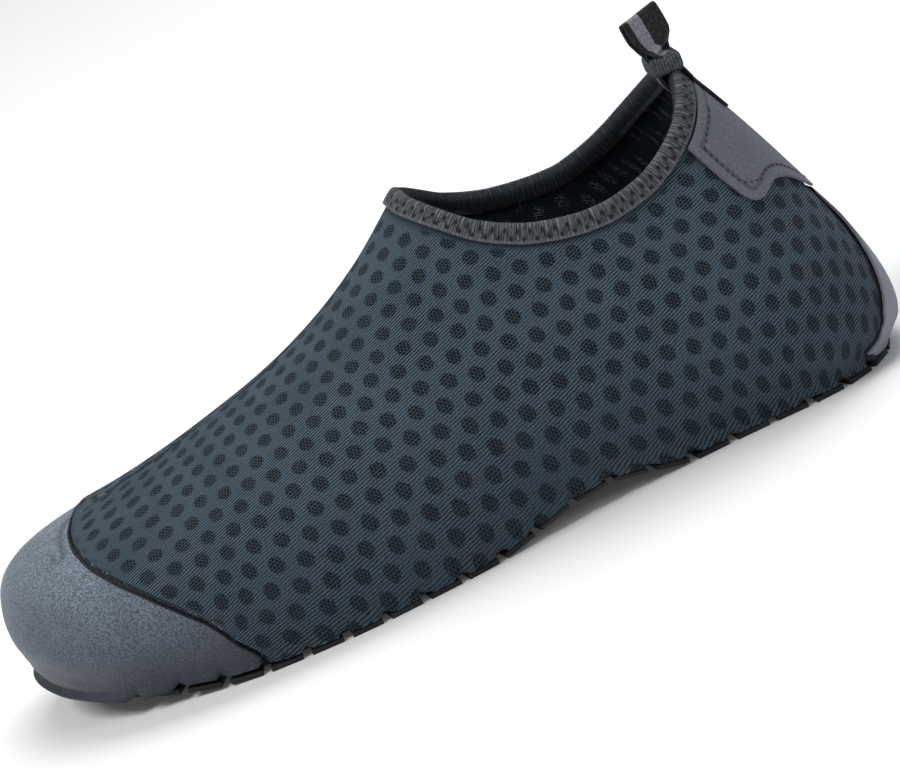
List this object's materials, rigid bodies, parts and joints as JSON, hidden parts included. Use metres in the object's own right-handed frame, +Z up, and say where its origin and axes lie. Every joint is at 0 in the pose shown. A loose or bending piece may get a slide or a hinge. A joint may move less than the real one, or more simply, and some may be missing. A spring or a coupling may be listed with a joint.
{
  "type": "water shoe",
  "caption": "Slip-on water shoe with a stretch mesh upper, napped toe cap, bound collar with a pull loop, and a thin lugged rubber sole.",
  "frame": {"origin": "middle of the shoe's box, on the floor that the sole stands on", "axes": "toe to -X, heel to +X, the foot's outer side to -Y, +Z up"},
  "size_m": [0.2746, 0.097, 0.1176],
  "materials": {
    "black_rubber": "matte black rubber",
    "sock_foam": "dark navy sock lining over foam",
    "slate_mesh": "slate blue knitted spacer mesh with dark open dots",
    "grey_nap": "mid grey fabric with a short nap",
    "grey_cloth": "smooth grey fabric",
    "grey_elastic": "heathered grey knitted elastic",
    "striped_ribbon": "black ribbon with a grey middle stripe"
  },
  "bodies": {
    "root": {"outsole": "black_rubber", "insole": "sock_foam", "upper": "slate_mesh", "toe_cap": "grey_nap", "heel_patch": "grey_cloth", "heel_strip": "grey_cloth", "collar_binding": "grey_elastic", "pull_loop": "striped_ribbon"}
  },
  "joints": []
}
